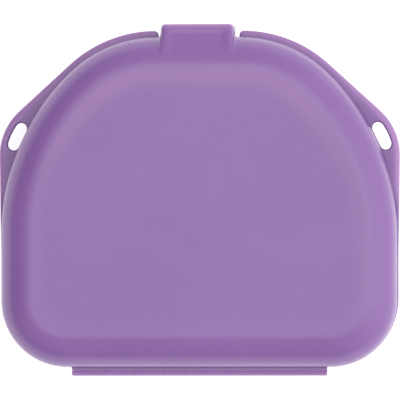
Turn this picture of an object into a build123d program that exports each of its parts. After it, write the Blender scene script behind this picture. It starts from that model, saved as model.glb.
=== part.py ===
"""One-piece retainer case with a double living hinge, closed and lying on its base.

Millimetres. The origin is on the table under the middle of the closed case.
+X runs across the case, +Y from the hinge (back) to the latch (front), +Z up.

Nodes
  base_tray    bowl, rim flange, two lanyard ears, locating lip, catch ledge, lower hinge land
  base_web     thin web that bends between the base's land and the strap
  hinge_strap  stiff strip behind the two halves
  lid_web      thin web that bends between the strap and the lid's land
  lid_shell    dome, upper hinge land, thumb tongue
  latch_flap   hanging flap with the hook, flexes outwards to unsnap
"""

from build123d import *
import math
import os

os.makedirs("parts", exist_ok=True)

# ------------------------------------------------------------------ heights
RIM_Z = 12.6  # top of the base's rim
SEAM = 0.1  # gap between the closed rims
TOP_Z = 25.0  # flat top of the lid
LID_Z = RIM_Z + SEAM  # lower edge of the lid

# ------------------------------------------------------------------ plan outline of the rims, a D
FRONT_Y = 33.87  # straight front edge
BACK_Y = -34.23  # straight back edge
FRONT_HALF = 8.9  # half length of the straight front edge
SHOULDER_R = 25.3
SHOULDER_ARC = 43.0  # degrees
FLANK_R = 46.0  # from the shoulder to the straight sides
CORNER_R = 14.1  # the two back corners
# the lid's outline is the same D, a little shorter and narrower
LID_FRONT_IN = 0.38
LID_SIDE_IN = 0.2
LID_CORNER_R = 13.75

# ------------------------------------------------------------------ shells
DRAFT = 1.5  # degrees on the walls of the base
LID_DRAFT = 3.0  # degrees on the outside of the lid
LID_HOLLOW_DRAFT = 2.5
LID_WALL = 1.25
LID_TOP = 1.8
LID_ROUND = 6.4  # outer radius between the lid's wall and its flat top
LID_HOLLOW_ROUND = 5.0
BASE_SET_IN = 0.9  # base wall behind the edge of its rim
BASE_WALL = 1.7
BASE_FLOOR = 1.6
BASE_ROUND = 6.0  # outer radius between the base's wall and its floor
FOOT_INSET = 2.2  # width of the standing ring inside the bottom radius
FOOT_RECESS = 0.4  # depth of the panel inside the standing ring

# ------------------------------------------------------------------ rim flange and ears
FLANGE_T = 1.6
FLANGE_OUT = 0.9  # beyond the D outline, round the front
GAP_HALF = 8.3  # half width of the gap for the latch flap
GAP_END_R = 0.9  # rounding of the flange's ends at the gap
EAR_CENTRE = (28.78, 9.22)  # centre of the ear's outer corner arc
EAR_R = 12.32
EAR_LEAN = 0.86  # degrees, lean of the ear's outer edge
SLOT_CENTRE = (37.42, 13.13)
SLOT_LENGTH = 6.0
SLOT_WIDTH = 2.35
SLOT_LEAN = 25.8  # degrees from the front-to-back direction

# ------------------------------------------------------------------ locating lip inside the rim
LIP_IN = 1.75  # from the edge of the rim, clear of the lid's inner wall
LIP_H = 1.5
LIP_BACK_Y = -15.9  # no lip behind this line, where the hinge swings the lid's rim past it

# ------------------------------------------------------------------ double living hinge
HINGE_HALF = 26.1  # half length of the hinge
LAND_OUT = 0.645  # the lands stand this far behind the shells
LAND_H = 3.0  # depth of the base's land; the lid's land ends symmetrically above the seam
WEB_T = 0.3  # thickness of a web
WEB_R = 0.9  # bend radius of a closed web, at mid thickness
STRAP_T = 0.8
STRAP_TAPER = 0.55  # length of the strap's thinning towards each web

# ------------------------------------------------------------------ thumb tongue and latch
TONGUE_HALF = 7.4
TONGUE_Y = 35.93  # outermost face
TONGUE_ROOT_Y, TONGUE_ROOT_Z = 29.0, 24.50  # where the slope leaves the dome
TONGUE_EDGE_Z = 21.88  # where the slope would meet the front face
TONGUE_NOSE_R = 0.8
TONGUE_CORNER_R = 0.85
FLAP_ROOT_Z = 18.0  # the flap flexes here
FLAP_T = 1.5
FLAP_END_Z = 8.4
HOOK_TOP_Z = 10.85
HOOK_TIP_Y = 33.47
HOOK_TIP_H = 0.6
LEDGE_HALF = 6.6
LEDGE_Y = 33.87  # edge of the catch ledge on the base

# derived
LAND_Y = BACK_Y - LAND_OUT
WEB_M = WEB_T / 2
STRAP_OUT_Y = LAND_Y - WEB_R - WEB_M  # rear face of the case
LAND_LOW_Z = RIM_Z - LAND_H
LAND_HIGH_Z = LID_Z + (LAND_H - SEAM)

# ================================================================== plan of the rims
HALF_X = FRONT_HALF + FLANK_R - (FLANK_R - SHOULDER_R) * math.sin(
    math.radians(SHOULDER_ARC)
)
SIDE_TOP_Y = (
    FRONT_Y
    - SHOULDER_R
    - (FLANK_R - SHOULDER_R) * math.cos(math.radians(SHOULDER_ARC))
)
with BuildSketch() as rim_plan:
    with BuildLine():
        back = Line((0, BACK_Y), (HALF_X - CORNER_R, BACK_Y))
        corner = JernArc(back @ 1, back % 1, CORNER_R, 90)
        side = Line(corner @ 1, (HALF_X, SIDE_TOP_Y))
        flank = JernArc(side @ 1, side % 1, FLANK_R, 90 - SHOULDER_ARC)
        shoulder = JernArc(flank @ 1, flank % 1, SHOULDER_R, SHOULDER_ARC)
        Line(shoulder @ 1, (0, FRONT_Y))
        mirror(about=Plane.YZ)
    make_face()

lid_half = HALF_X - LID_SIDE_IN
with BuildSketch() as lid_plan:
    with BuildLine():
        lid_back = Line((0, BACK_Y), (lid_half - LID_CORNER_R, BACK_Y))
        lid_corner = JernArc(lid_back @ 1, lid_back % 1, LID_CORNER_R, 90)
        lid_side = Line(lid_corner @ 1, (lid_half, SIDE_TOP_Y - LID_FRONT_IN))
        lid_flank = JernArc(lid_side @ 1, lid_side % 1, FLANK_R, 90 - SHOULDER_ARC)
        lid_shoulder = JernArc(lid_flank @ 1, lid_flank % 1, SHOULDER_R, SHOULDER_ARC)
        Line(lid_shoulder @ 1, (0, FRONT_Y - LID_FRONT_IN))
        mirror(about=Plane.YZ)
    make_face()

# plan of the base's rim with its ears: a constant step round the front, a straight run
# that leaves it at a tangent, the ear's corner, and an edge that leans back to the side
ear_turn = math.degrees(
    math.acos(
        (SHOULDER_R + FLANGE_OUT - EAR_R)
        / math.hypot(EAR_CENTRE[0] - FRONT_HALF, EAR_CENTRE[1] - FRONT_Y + SHOULDER_R)
    )
) + math.degrees(
    math.atan2(EAR_CENTRE[1] - FRONT_Y + SHOULDER_R, EAR_CENTRE[0] - FRONT_HALF)
)
with BuildSketch() as flange_plan:
    with BuildLine():
        low_back = Line((0, BACK_Y), (HALF_X - CORNER_R, BACK_Y))
        low_corner = JernArc(low_back @ 1, low_back % 1, CORNER_R, 90)
        ear_arc = CenterArc(EAR_CENTRE, EAR_R, -EAR_LEAN, ear_turn + EAR_LEAN)
        ear_foot_y = (ear_arc @ 0).Y - ((ear_arc @ 0).X - HALF_X) / math.tan(
            math.radians(EAR_LEAN)
        )
        Line(low_corner @ 1, (HALF_X, ear_foot_y))
        Line((HALF_X, ear_foot_y), ear_arc @ 0)
        round_front = CenterArc(
            (FRONT_HALF, FRONT_Y - SHOULDER_R),
            SHOULDER_R + FLANGE_OUT,
            ear_turn,
            90 - ear_turn,
        )
        Line(ear_arc @ 1, round_front @ 0)
        Line(round_front @ 1, (0, FRONT_Y + FLANGE_OUT))
        mirror(about=Plane.YZ)
    make_face()

# ================================================================== base
with BuildPart() as base_hollow:
    with BuildSketch(Plane.XY.offset(RIM_Z)):
        add(rim_plan.sketch)
        offset(amount=-(BASE_SET_IN + BASE_WALL), mode=Mode.REPLACE)
    extrude(amount=-(RIM_Z - BASE_FLOOR), taper=DRAFT)
    fillet(base_hollow.faces().sort_by(Axis.Z)[0].edges(), BASE_ROUND - BASE_WALL)
    # the hollow runs on through the locating lip
    with BuildSketch(Plane.XY.offset(RIM_Z)):
        add(rim_plan.sketch)
        offset(amount=-(BASE_SET_IN + BASE_WALL), mode=Mode.REPLACE)
    extrude(amount=LIP_H + 1)

with BuildPart() as base_tray:
    # bowl
    with BuildSketch(Plane.XY.offset(RIM_Z)):
        add(rim_plan.sketch)
        offset(amount=-BASE_SET_IN, mode=Mode.REPLACE)
    extrude(amount=-RIM_Z, taper=DRAFT)
    foot = base_tray.faces().sort_by(Axis.Z)[0]
    fillet(foot.edges(), BASE_ROUND)
    # rim flange with the two ears
    with BuildSketch(Plane.XY.offset(RIM_Z)):
        add(flange_plan.sketch)
    extrude(amount=-FLANGE_T)
    # gap for the latch flap, down to the wall
    with BuildSketch(Plane.XY.offset(RIM_Z)):
        with Locations((0, FRONT_Y - BASE_SET_IN)):
            Rectangle(2 * GAP_HALF, 4, align=(Align.CENTER, Align.MIN))
    extrude(amount=-FLANGE_T, mode=Mode.SUBTRACT)
    gap_ends = (
        base_tray.edges()
        .filter_by(Axis.Z)
        .filter_by_position(Axis.Y, FRONT_Y + FLANGE_OUT - 0.05, FRONT_Y + FLANGE_OUT + 0.05)
        .filter_by(lambda e: abs(abs(e.center().X) - GAP_HALF) < 0.01)
    )
    fillet(gap_ends, GAP_END_R)
    # catch ledge under the closed lid's front edge
    with BuildSketch(Plane.XY.offset(RIM_Z)):
        with Locations((0, FRONT_Y - BASE_SET_IN - 0.5)):
            Rectangle(
                2 * LEDGE_HALF,
                LEDGE_Y - (FRONT_Y - BASE_SET_IN - 0.5),
                align=(Align.CENTER, Align.MIN),
            )
    extrude(amount=-FLANGE_T)
    # lower hinge land
    with BuildSketch(Plane.XY.offset(RIM_Z)):
        with Locations((0, LAND_Y)):
            Rectangle(2 * HINGE_HALF, 2.6, align=(Align.CENTER, Align.MIN))
    extrude(amount=-LAND_H)
    # locating lip, round the front and the sides only
    with BuildSketch(Plane.XY.offset(RIM_Z)):
        add(rim_plan.sketch)
        offset(amount=-LIP_IN, mode=Mode.REPLACE)
        with Locations((0, LIP_BACK_Y)):
            Rectangle(120, 80, align=(Align.CENTER, Align.MAX), mode=Mode.SUBTRACT)
    extrude(amount=LIP_H, taper=3)
    # hollow
    add(base_hollow.part, mode=Mode.SUBTRACT)
    # lanyard slots
    with BuildSketch(Plane.XY.offset(RIM_Z)):
        with Locations(Location(SLOT_CENTRE, 90 + SLOT_LEAN)):
            SlotOverall(SLOT_LENGTH, SLOT_WIDTH)
        with Locations(Location((-SLOT_CENTRE[0], SLOT_CENTRE[1]), 90 - SLOT_LEAN)):
            SlotOverall(SLOT_LENGTH, SLOT_WIDTH)
    extrude(amount=-FLANGE_T, mode=Mode.SUBTRACT)
    # shallow panel under the floor, leaving a flat ring to stand on
    with BuildSketch() as panel:
        add(rim_plan.sketch)
        offset(
            amount=-(
                BASE_SET_IN
                + RIM_Z * math.tan(math.radians(DRAFT))
                + BASE_ROUND
                + FOOT_INSET
            ),
            mode=Mode.REPLACE,
        )
    extrude(amount=FOOT_RECESS, mode=Mode.SUBTRACT)

# ================================================================== lid
with BuildPart() as lid_hollow:
    with BuildSketch(Plane.XY.offset(LID_Z)):
        add(lid_plan.sketch)
        offset(amount=-LID_WALL, mode=Mode.REPLACE)
    extrude(amount=TOP_Z - LID_TOP - LID_Z, taper=LID_HOLLOW_DRAFT)
    fillet(lid_hollow.faces().sort_by(Axis.Z)[-1].edges(), LID_HOLLOW_ROUND)

# the tongue is a sloping block with a rounded nose, sides and corners
with BuildPart() as tongue:
    with BuildSketch(Plane.YZ):
        with BuildLine():
            Polyline(
                (TONGUE_ROOT_Y, TONGUE_ROOT_Z),
                (TONGUE_Y, TONGUE_EDGE_Z),
                (TONGUE_Y, FLAP_ROOT_Z),
                (TONGUE_ROOT_Y, FLAP_ROOT_Z),
                close=True,
            )
        make_face()
    extrude(amount=TONGUE_HALF, both=True)
    fillet(
        tongue.edges().filter_by(Axis.Z).group_by(Axis.Y)[-1],
        TONGUE_CORNER_R,
    )
    nose = (
        tongue.edges()
        .filter_by_position(Axis.Y, TONGUE_Y - 1.2, TONGUE_Y + 0.1)
        .filter_by_position(Axis.Z, TONGUE_EDGE_Z - 0.5, TONGUE_EDGE_Z + 0.7)
    )
    slope_sides = (
        tongue.edges()
        .filter_by(lambda e: abs(abs(e.center().X) - TONGUE_HALF) < 0.01)
        .filter_by(lambda e: e.center().Z > (TONGUE_ROOT_Z + TONGUE_EDGE_Z) / 2 - 0.4)
        .filter_by(lambda e: abs((e % 0.5).Y) > 0.9)
    )
    fillet(nose + slope_sides, TONGUE_NOSE_R)

with BuildPart() as lid_shell:
    with BuildSketch(Plane.XY.offset(LID_Z)):
        add(lid_plan.sketch)
    extrude(amount=TOP_Z - LID_Z, taper=LID_DRAFT)
    fillet(lid_shell.faces().sort_by(Axis.Z)[-1].edges(), LID_ROUND)
    add(tongue.part)
    # upper hinge land
    with BuildSketch(Plane.XY.offset(LID_Z)):
        with Locations((0, LAND_Y)):
            Rectangle(2 * HINGE_HALF, 2.6, align=(Align.CENTER, Align.MIN))
    extrude(amount=LAND_HIGH_Z - LID_Z)
    add(lid_hollow.part, mode=Mode.SUBTRACT)

# ================================================================== latch flap
with BuildPart() as latch_flap:
    with BuildSketch(Plane.YZ):
        with BuildLine():
            Polyline(
                (TONGUE_Y, FLAP_ROOT_Z),
                (TONGUE_Y, FLAP_END_Z),
                (TONGUE_Y - FLAP_T, FLAP_END_Z),
                (HOOK_TIP_Y, HOOK_TOP_Z - HOOK_TIP_H),
                (HOOK_TIP_Y, HOOK_TOP_Z),
                (TONGUE_Y - FLAP_T, HOOK_TOP_Z),
                (TONGUE_Y - FLAP_T, FLAP_ROOT_Z),
                close=True,
            )
        make_face()
    extrude(amount=TONGUE_HALF, both=True)
    fillet(
        latch_flap.edges().filter_by(Axis.Z).group_by(Axis.Y)[-1],
        TONGUE_CORNER_R,
    )
    fillet(
        latch_flap.faces().sort_by(Axis.Z)[0].edges().filter_by(Axis.X).sort_by(Axis.Y)[-1],
        0.6,
    )

# ================================================================== hinge
# lower web: a quarter turn from the underside of the base's land up to the strap
with BuildPart() as base_web:
    with BuildSketch(Plane.YZ):
        with BuildLine():
            lower_out = CenterArc(
                (LAND_Y, LAND_LOW_Z + WEB_M + WEB_R), WEB_R + WEB_M, 180, 90
            )
            lower_in = CenterArc(
                (LAND_Y, LAND_LOW_Z + WEB_M + WEB_R), WEB_R - WEB_M, 180, 90
            )
            Line(lower_out @ 0, lower_in @ 0)
            Line(lower_out @ 1, lower_in @ 1)
        make_face()
    extrude(amount=HINGE_HALF, both=True)

# upper web: the same, from the strap to the top of the lid's land
with BuildPart() as lid_web:
    with BuildSketch(Plane.YZ):
        with BuildLine():
            upper_out = CenterArc(
                (LAND_Y, LAND_HIGH_Z - WEB_M - WEB_R), WEB_R + WEB_M, 90, 90
            )
            upper_in = CenterArc(
                (LAND_Y, LAND_HIGH_Z - WEB_M - WEB_R), WEB_R - WEB_M, 90, 90
            )
            Line(upper_out @ 0, upper_in @ 0)
            Line(upper_out @ 1, upper_in @ 1)
        make_face()
    extrude(amount=HINGE_HALF, both=True)

# strap: flat outside, thinning to the webs' thickness at its two long edges
strap_low = LAND_LOW_Z + WEB_M + WEB_R
strap_high = LAND_HIGH_Z - WEB_M - WEB_R
with BuildPart() as hinge_strap:
    with BuildSketch(Plane.YZ):
        with BuildLine():
            Polyline(
                (STRAP_OUT_Y, strap_low),
                (STRAP_OUT_Y + WEB_T, strap_low),
                (STRAP_OUT_Y + STRAP_T, strap_low + STRAP_TAPER),
                (STRAP_OUT_Y + STRAP_T, strap_high - STRAP_TAPER),
                (STRAP_OUT_Y + WEB_T, strap_high),
                (STRAP_OUT_Y, strap_high),
                close=True,
            )
        make_face()
    extrude(amount=HINGE_HALF, both=True)

base_tray.part.label = "base_tray"
lid_shell.part.label = "lid_shell"
latch_flap.part.label = "latch_flap"
base_web.part.label = "base_web"
lid_web.part.label = "lid_web"
hinge_strap.part.label = "hinge_strap"

export_step(base_tray.part, "parts/base_tray.step")
export_step(lid_shell.part, "parts/lid_shell.step")
export_step(latch_flap.part, "parts/latch_flap.step")
export_step(base_web.part, "parts/base_web.step")
export_step(lid_web.part, "parts/lid_web.step")
export_step(hinge_strap.part, "parts/hinge_strap.step")

# joint axes for the record
strap_axis = (LAND_Y - 0.7855 * WEB_R, LAND_LOW_Z + WEB_M + 0.2145 * WEB_R)
lid_axis = (LAND_Y - 0.7855 * WEB_R, LAND_HIGH_Z - WEB_M - 0.2145 * WEB_R)
print("half width", HALF_X, "rear face", STRAP_OUT_Y)
print("strap axis y z", strap_axis, "lid axis y z", lid_axis)
print("strap rigid length", strap_high - strap_low)
print("ear turn", ear_turn, "ear foot ends at y", ear_foot_y)
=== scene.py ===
import bmesh
import bpy
import math
import numpy as np
from mathutils import Matrix, Quaternion, Vector


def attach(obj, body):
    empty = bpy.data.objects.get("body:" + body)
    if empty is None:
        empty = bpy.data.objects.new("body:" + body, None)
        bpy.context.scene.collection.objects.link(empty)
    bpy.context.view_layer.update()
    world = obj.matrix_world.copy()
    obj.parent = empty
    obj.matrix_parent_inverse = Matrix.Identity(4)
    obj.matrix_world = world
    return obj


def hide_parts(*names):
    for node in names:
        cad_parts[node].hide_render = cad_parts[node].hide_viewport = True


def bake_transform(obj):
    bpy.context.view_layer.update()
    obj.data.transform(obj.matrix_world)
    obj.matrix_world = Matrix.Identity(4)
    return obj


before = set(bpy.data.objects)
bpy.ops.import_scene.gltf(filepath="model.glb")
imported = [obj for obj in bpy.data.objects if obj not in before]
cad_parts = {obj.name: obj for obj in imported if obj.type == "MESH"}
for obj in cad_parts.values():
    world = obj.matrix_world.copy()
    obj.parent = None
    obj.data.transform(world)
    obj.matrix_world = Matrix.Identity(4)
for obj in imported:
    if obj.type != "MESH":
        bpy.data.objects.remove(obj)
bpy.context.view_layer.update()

# Retainer case, closed, lying on its base. Everything below is in millimetres until a mesh is
# written, which is in metres. +X across, +Y to the latch, +Z up, origin on the table.
MM = 0.001
TAN = math.tan(math.radians(1.5))  # draft of the base's walls
LID_TAN, HOLLOW_TAN = math.tan(math.radians(3.0)), math.tan(math.radians(2.5))

RIM_Z, SEAM, TOP_Z = 12.6, 0.1, 25.0
LID_Z = RIM_Z + SEAM
FRONT_Y, BACK_Y, FRONT_HALF = 33.87, -34.23, 8.9
SHOULDER_R, SHOULDER_ARC, FLANK_R, CORNER_R = 25.3, 43.0, 46.0, 14.1
HALF_X = FRONT_HALF + FLANK_R - (FLANK_R - SHOULDER_R) * math.sin(math.radians(SHOULDER_ARC))
LID_FRONT_Y, LID_FRONT_HALF, LID_CORNER_R = FRONT_Y - 0.38, FRONT_HALF - 0.2, 13.75

LAND_OUT, LAND_H, HINGE_HALF = 0.645, 3.0, 26.1
WEB_T, WEB_R, STRAP_T, STRAP_TAPER = 0.3, 0.9, 0.8, 0.55
LAND_Y = BACK_Y - LAND_OUT
LAND_LOW_Z = RIM_Z - LAND_H
LAND_HIGH_Z = LID_Z + LAND_H - SEAM
STRAP_OUT_Y = LAND_Y - WEB_R - WEB_T / 2

TONGUE_Y, FLAP_ROOT_Z, FLAP_T, FLAP_END_Z = 35.93, 18.0, 1.5, 8.4
EAR_CENTRE, EAR_R, EAR_LEAN = (28.78, 9.22), 12.32, 0.86
SLOT_CENTRE, SLOT_LENGTH, SLOT_WIDTH, SLOT_LEAN = (37.42, 13.13), 6.0, 2.35, 25.8
FLANGE_OUT, FLANGE_T = 0.9, 1.6


# ------------------------------------------------------------------ small helpers
def ease(x, a, b):
    """0 at a, 1 at b, smooth between them."""
    t = np.clip((np.asarray(x, float) - a) / (b - a), 0, 1)
    return t * t * (3 - 2 * t)


def fill(marks, step):
    """Every mark, and evenly spaced points between neighbours no further apart than step."""
    marks = sorted(marks)
    out = [marks[0]]
    for a, b in zip(marks[:-1], marks[1:]):
        gap = step(0.5 * (a + b)) if callable(step) else step
        n = max(1, math.ceil((b - a) / gap - 1e-6))
        out += [a + (b - a) * k / n for k in range(1, n + 1)]
    return np.array(out)


# ------------------------------------------------------------------ the D outlines, by arc length from the front centre
def d_outline(front_half, front_y, corner_r):
    """Segments of the right half of a D as (start length, kind, data), its joins and its length."""
    rad = math.radians
    half_x = front_half + FLANK_R - (FLANK_R - SHOULDER_R) * math.sin(rad(SHOULDER_ARC))
    side_y = front_y - SHOULDER_R - (FLANK_R - SHOULDER_R) * math.cos(rad(SHOULDER_ARC))
    pieces = (
        (front_half, "line", ((0, front_y), (1, 0), (0, 1))),
        (SHOULDER_R * rad(SHOULDER_ARC), "arc", ((front_half, front_y - SHOULDER_R), SHOULDER_R, 90.0)),
        (FLANK_R * rad(90 - SHOULDER_ARC), "arc", ((half_x - FLANK_R, side_y), FLANK_R, 90.0 - SHOULDER_ARC)),
        (side_y - (BACK_Y + corner_r), "line", ((half_x, side_y), (0, -1), (1, 0))),
        (corner_r * rad(90), "arc", ((half_x - corner_r, BACK_Y + corner_r), corner_r, 0.0)),
        (half_x - corner_r, "line", ((half_x - corner_r, BACK_Y), (-1, 0), (0, -1))),
    )
    segments, start = [], 0.0
    for long, kind, data in pieces:
        segments.append((start, kind, data))
        start += long
    return segments, [g[0] for g in segments] + [start], start


RIM, JOINS, HALF_LENGTH = d_outline(FRONT_HALF, FRONT_Y, CORNER_R)
LID, LID_JOINS, LID_LENGTH = d_outline(LID_FRONT_HALF, LID_FRONT_Y, LID_CORNER_R)


def outline(s, segments=RIM):
    """Points and outward normals of the right half of a D, (n, 2) each."""
    points, normals = [], []
    for v in np.atleast_1d(s):
        start, kind, data = [g for g in segments if g[0] <= v + 1e-9][-1]
        u = v - start
        if kind == "line":
            p, way, normal = data
            points.append((p[0] + way[0] * u, p[1] + way[1] * u))
            normals.append(normal)
        else:
            centre, r, turn = data
            a = math.radians(turn) - u / r
            normals.append((math.cos(a), math.sin(a)))
            points.append((centre[0] + r * math.cos(a), centre[1] + r * math.sin(a)))
    return np.array(points, float), np.array(normals, float)


def length_at_y(y):
    """Arc length where the right half crosses y, on the flank or the side."""
    low, high = FRONT_HALF, HALF_LENGTH - 1
    for _ in range(60):
        mid = 0.5 * (low + high)
        low, high = (mid, high) if outline(mid)[0][0, 1] > y else (low, mid)
    return low


def mirror_ring(half):
    """(rows, m+1, 3) of the right half to the whole closed ring (rows, 2m, 3)."""
    left = half[:, -2:0:-1].copy()
    left[:, :, 0] *= -1
    return np.concatenate([half, left], axis=1)


class Shell:
    """A mesh built from rows of points, with quads between rows."""

    def __init__(self):
        self.points, self.faces, self.edge = [], [], []
        self.pale = None  # painted light and shade per point: how far each point is painted lighter (painted highlights, painted light on thin edges), or below zero pushed into the painted seam shade

    def add(self, grid, edge=0.0):
        grid = np.asarray(grid, float)
        start = len(self.points)
        flat = grid.reshape(-1, 3)
        self.points.extend(map(tuple, flat))
        worn = np.broadcast_to(np.asarray(edge, float), grid.shape[:-1]).reshape(-1)
        self.edge.extend(worn.tolist())
        return np.arange(start, start + len(flat)).reshape(grid.shape[:-1])

    def quad(self, a, b, c, d):
        self.faces.append((int(a), int(b), int(c), int(d)))

    def between(self, a, b, closed=True, skip=None):
        n = len(a)
        for i in range(n if closed else n - 1):
            if skip is not None and skip(i):
                continue
            k = (i + 1) % n
            self.quad(a[i], a[k], b[k], b[i])

    def patch(self, ring, k, height=None):
        """Fills a closed ring of 2m points with a grid of quads; k sets where its corners are."""
        n = len(ring)
        m = n // 2
        wide, deep = 2 * k, m - 2 * k
        xyz = np.array([self.points[i] for i in ring])
        front = [(u - k) % n for u in range(wide + 1)]
        back = [(m + k - u) % n for u in range(wide + 1)]
        right = [(k + v) % n for v in range(deep + 1)]
        left = [(-k - v) % n for v in range(deep + 1)]
        index = np.zeros((deep + 1, wide + 1), int)
        f, b, r, l = xyz[front], xyz[back], xyz[right], xyz[left]
        for v in range(deep + 1):
            for u in range(wide + 1):
                if v == 0:
                    index[v, u] = ring[front[u]]
                elif v == deep:
                    index[v, u] = ring[back[u]]
                elif u == 0:
                    index[v, u] = ring[left[v]]
                elif u == wide:
                    index[v, u] = ring[right[v]]
                else:
                    x, y = u / wide, v / deep
                    p = (
                        (1 - y) * f[u] + y * b[u] + (1 - x) * l[v] + x * r[v]
                        - (1 - x) * (1 - y) * f[0] - x * (1 - y) * f[-1]
                        - (1 - x) * y * b[0] - x * y * b[-1]
                    )
                    if height is not None:
                        p[2] = height(p[0], p[1])
                    index[v, u] = self.add(p)
        for v in range(deep):
            for u in range(wide):
                self.quad(index[v, u], index[v, u + 1], index[v + 1, u + 1], index[v + 1, u])

    def make(self, name, sharp=38.0):
        points = np.array(self.points, float) * MM
        used = np.zeros(len(points), bool)
        used[np.array(self.faces).ravel()] = True
        place = np.cumsum(used) - 1
        faces = [tuple(int(place[i]) for i in f) for f in self.faces]
        mesh = bpy.data.meshes.new(name)
        mesh.from_pydata(points[used].tolist(), [], faces)
        mesh.validate()
        bm = bmesh.new()
        bm.from_mesh(mesh)
        bmesh.ops.recalc_face_normals(bm, faces=bm.faces)
        if bm.calc_volume(signed=True) < 0:
            bmesh.ops.reverse_faces(bm, faces=bm.faces)
        bm.to_mesh(mesh)
        bm.free()
        worn = mesh.attributes.new("edge_wear", "FLOAT", "POINT")
        worn.data.foreach_set("value", np.array(self.edge, np.float32)[used])
        # painted light and shade per point, read by the material
        thin = mesh.attributes.new("painted_light", "FLOAT", "POINT")
        pale = np.zeros(len(points), np.float32) if self.pale is None else np.asarray(self.pale, np.float32)
        thin.data.foreach_set("value", np.ascontiguousarray(pale[used]))
        mesh.polygons.foreach_set("use_smooth", np.ones(len(mesh.polygons), bool))
        mesh.set_sharp_from_angle(angle=math.radians(sharp))
        mesh.update()
        piece = bpy.data.objects.new(name, mesh)
        bpy.context.scene.collection.objects.link(piece)
        even = piece.modifiers.new("even_normals", "WEIGHTED_NORMAL")
        even.keep_sharp = True
        even.weight = 60
        return piece


def quarter(n, power=2.0):
    """n+1 pairs (across, up) on a rounded quarter turn, from (0, 0) tangent to 'across' to (1, 1)."""
    a = np.linspace(0, math.pi / 2, n + 1)
    return np.sin(a) ** (2 / power), 1 - np.cos(a) ** (2 / power)


# ------------------------------------------------------------------ lid
ROUND_POWER = 2.05
LID_RZ, LID_RD = 6.6, 6.4  # height and width of the dome's rounding
LID_ZC = TOP_Z - LID_RZ
CROWN = 0.07


def wall_inset(z):
    return (z - LID_Z) * LID_TAN


def dome(theta):
    """Inset and height of the lid's outside where its normal leans theta degrees."""
    t = np.radians(np.asarray(theta, float))
    z = LID_ZC + LID_RZ * np.cos(t) ** (2 / ROUND_POWER)
    d = LID_RD * (1 - np.sin(t) ** (2 / ROUND_POWER)) + wall_inset(z)
    return d, z


def tongue_profile():
    """Where the tongue leaves the dome, and the tongue's own outline by angle about the dome's centre."""
    low, high = 5.0, 45.0
    for _ in range(50):  # the slope is the dome's tangent that ends at the tongue's nose
        mid = 0.5 * (low + high)
        d0, z0 = dome(mid)
        d1, z1 = dome(mid + 0.05)
        slope = (z0 - z1) / (d0 - d1)
        nose_z = z0 - slope * (TONGUE_Y - (LID_FRONT_Y - d0))
        low, high = (mid, high) if nose_z > 21.9 else (low, mid)
    return mid, float(LID_FRONT_Y - d0), float(z0), float(slope)


T_THETA, T_Y, T_Z, T_SLOPE = tongue_profile()
NOSE_R = 1.2
SLOPE_ANGLE = math.atan(T_SLOPE)


def tongue_rows():
    """(y, z, ny, nz) down the middle of the tongue, from just past its root to the flap's root."""
    rows = []
    edge_z = T_Z - T_SLOPE * (TONGUE_Y - T_Y)
    turn = math.pi / 2 - SLOPE_ANGLE
    back_off = NOSE_R * math.tan(turn / 2)
    end_y = TONGUE_Y - back_off * math.cos(SLOPE_ANGLE)
    for f in np.linspace(0, 1, 17)[1:]:
        y = T_Y + f * (end_y - T_Y)
        rows.append((y, T_Z - T_SLOPE * (y - T_Y), math.sin(SLOPE_ANGLE), math.cos(SLOPE_ANGLE)))
    cy, cz = TONGUE_Y - NOSE_R, edge_z - back_off
    for f in np.linspace(0, 1, 9)[1:]:
        a = (math.pi / 2 - SLOPE_ANGLE) * (1 - f)
        rows.append((cy + NOSE_R * math.cos(a), cz + NOSE_R * math.sin(a), math.cos(a), math.sin(a)))
    for z in (20.6, 19.9, 19.2, 18.5, FLAP_ROOT_Z):
        rows.append((TONGUE_Y, z, 1.0, 0.0))
    return rows


SIDE_X0, SIDE_X1 = 7.33, 7.47  # the tongue's side has a little draft
FOOT_R = 1.05
TOP_R = 0.78


def tongue_columns():
    inner = [SIDE_X0 - TOP_R * (1 - math.sin(a)) for a in np.linspace(0, math.pi / 2, 9)]
    side = [7.365, 7.4, 7.435]
    outer = [SIDE_X1 + FOOT_R * (1 - math.cos(a)) for a in np.linspace(0, math.pi / 2, 8)]
    return inner + side + outer


def tongue_lift(x, reach, top_cos, top_r):
    """How far from the dome towards the tongue's face the surface lies at x, in millimetres."""
    x = abs(x)
    top, foot = top_r / max(top_cos, 0.35), FOOT_R
    squeeze = min(1.0, reach / (top + foot))
    top, foot = top * squeeze, foot * squeeze
    if x <= SIDE_X0 - top_r:
        return reach
    if x <= SIDE_X0:
        u = (x - SIDE_X0 + top_r) / top_r
        return reach - top * (1 - math.sqrt(max(0.0, 1 - u * u)))
    if x <= SIDE_X1:
        f = (x - SIDE_X0) / (SIDE_X1 - SIDE_X0)
        return (reach - top) * (1 - f) + foot * f
    if x <= SIDE_X1 + FOOT_R:
        u = (SIDE_X1 + FOOT_R - x) / FOOT_R
        return foot * (1 - math.sqrt(max(0.0, 1 - u * u)))
    return 0.0


DISH = 0.20  # depth of the thumb dish


def dish(x, y):
    across = 1 - ease(abs(x), 5.25, 5.95)
    front = 1 - ease(y, 34.2, 34.7)
    root = ease(y, T_Y + 0.2, T_Y + 3.4)
    return DISH * across * front * root


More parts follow.
